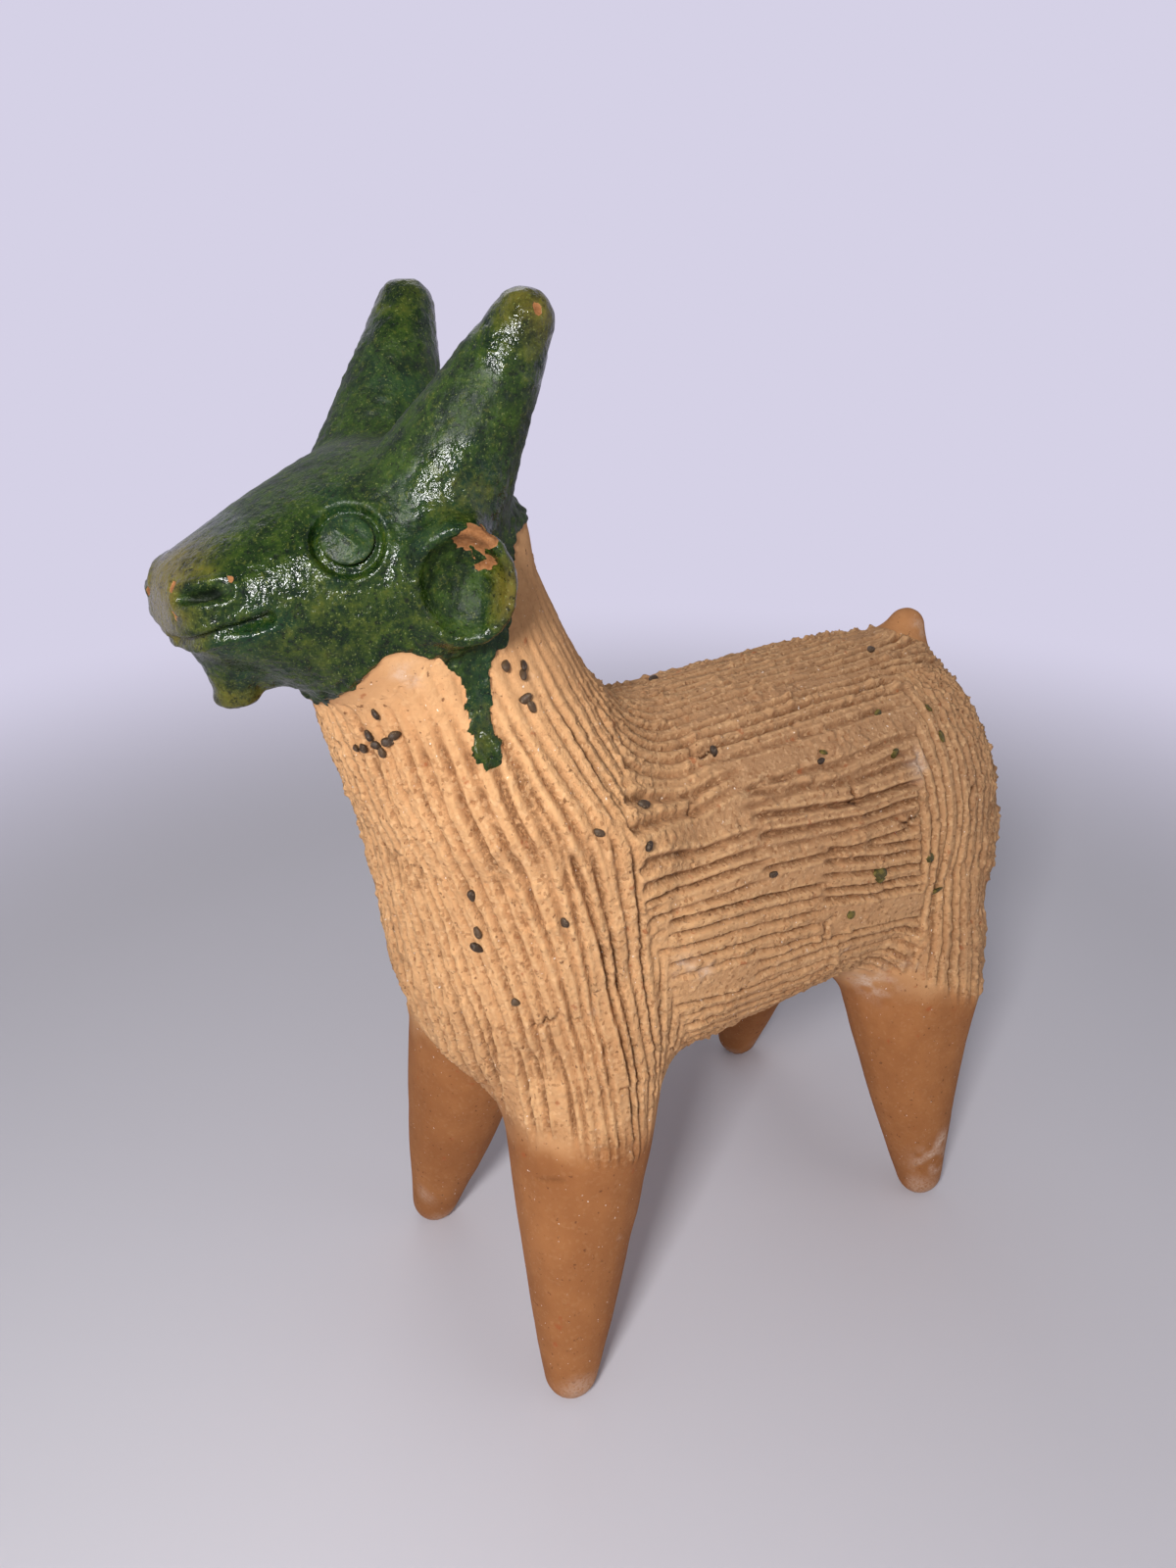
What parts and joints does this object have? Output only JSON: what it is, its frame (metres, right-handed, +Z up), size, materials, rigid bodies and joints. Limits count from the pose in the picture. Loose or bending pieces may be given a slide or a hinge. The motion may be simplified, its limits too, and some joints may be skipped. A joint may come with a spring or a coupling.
{
  "type": "goat planter",
  "caption": "Hollow terracotta goat planter with a combed coat for sprouting seeds, four tapered legs and a glazed head with horns, ears and beard.",
  "frame": {"origin": "on the ground under the middle of the goat's length, in its middle plane", "axes": "+Z up, -X towards the nose, -Y towards the goat's left flank"},
  "size_m": [0.2068, 0.0888, 0.2386],
  "materials": {
    "terracotta": "unglazed buff-orange earthenware, dry and porous, combed over the body, with dark specks",
    "green_glaze": "glossy dark green lead-style glaze, mottled with olive and ochre where it runs thin"
  },
  "bodies": {
    "root": {"trunk_vessel": "terracotta", "neck_vessel": "terracotta", "tail": "terracotta", "front_left_leg": "terracotta", "front_right_leg": "terracotta", "rear_left_leg": "terracotta", "rear_right_leg": "terracotta", "head": "green_glaze", "beard": "green_glaze", "left_horn": "green_glaze", "right_horn": "green_glaze", "left_ear": "green_glaze", "right_ear": "green_glaze", "left_eye": "green_glaze", "right_eye": "green_glaze"}
  },
  "joints": []
}
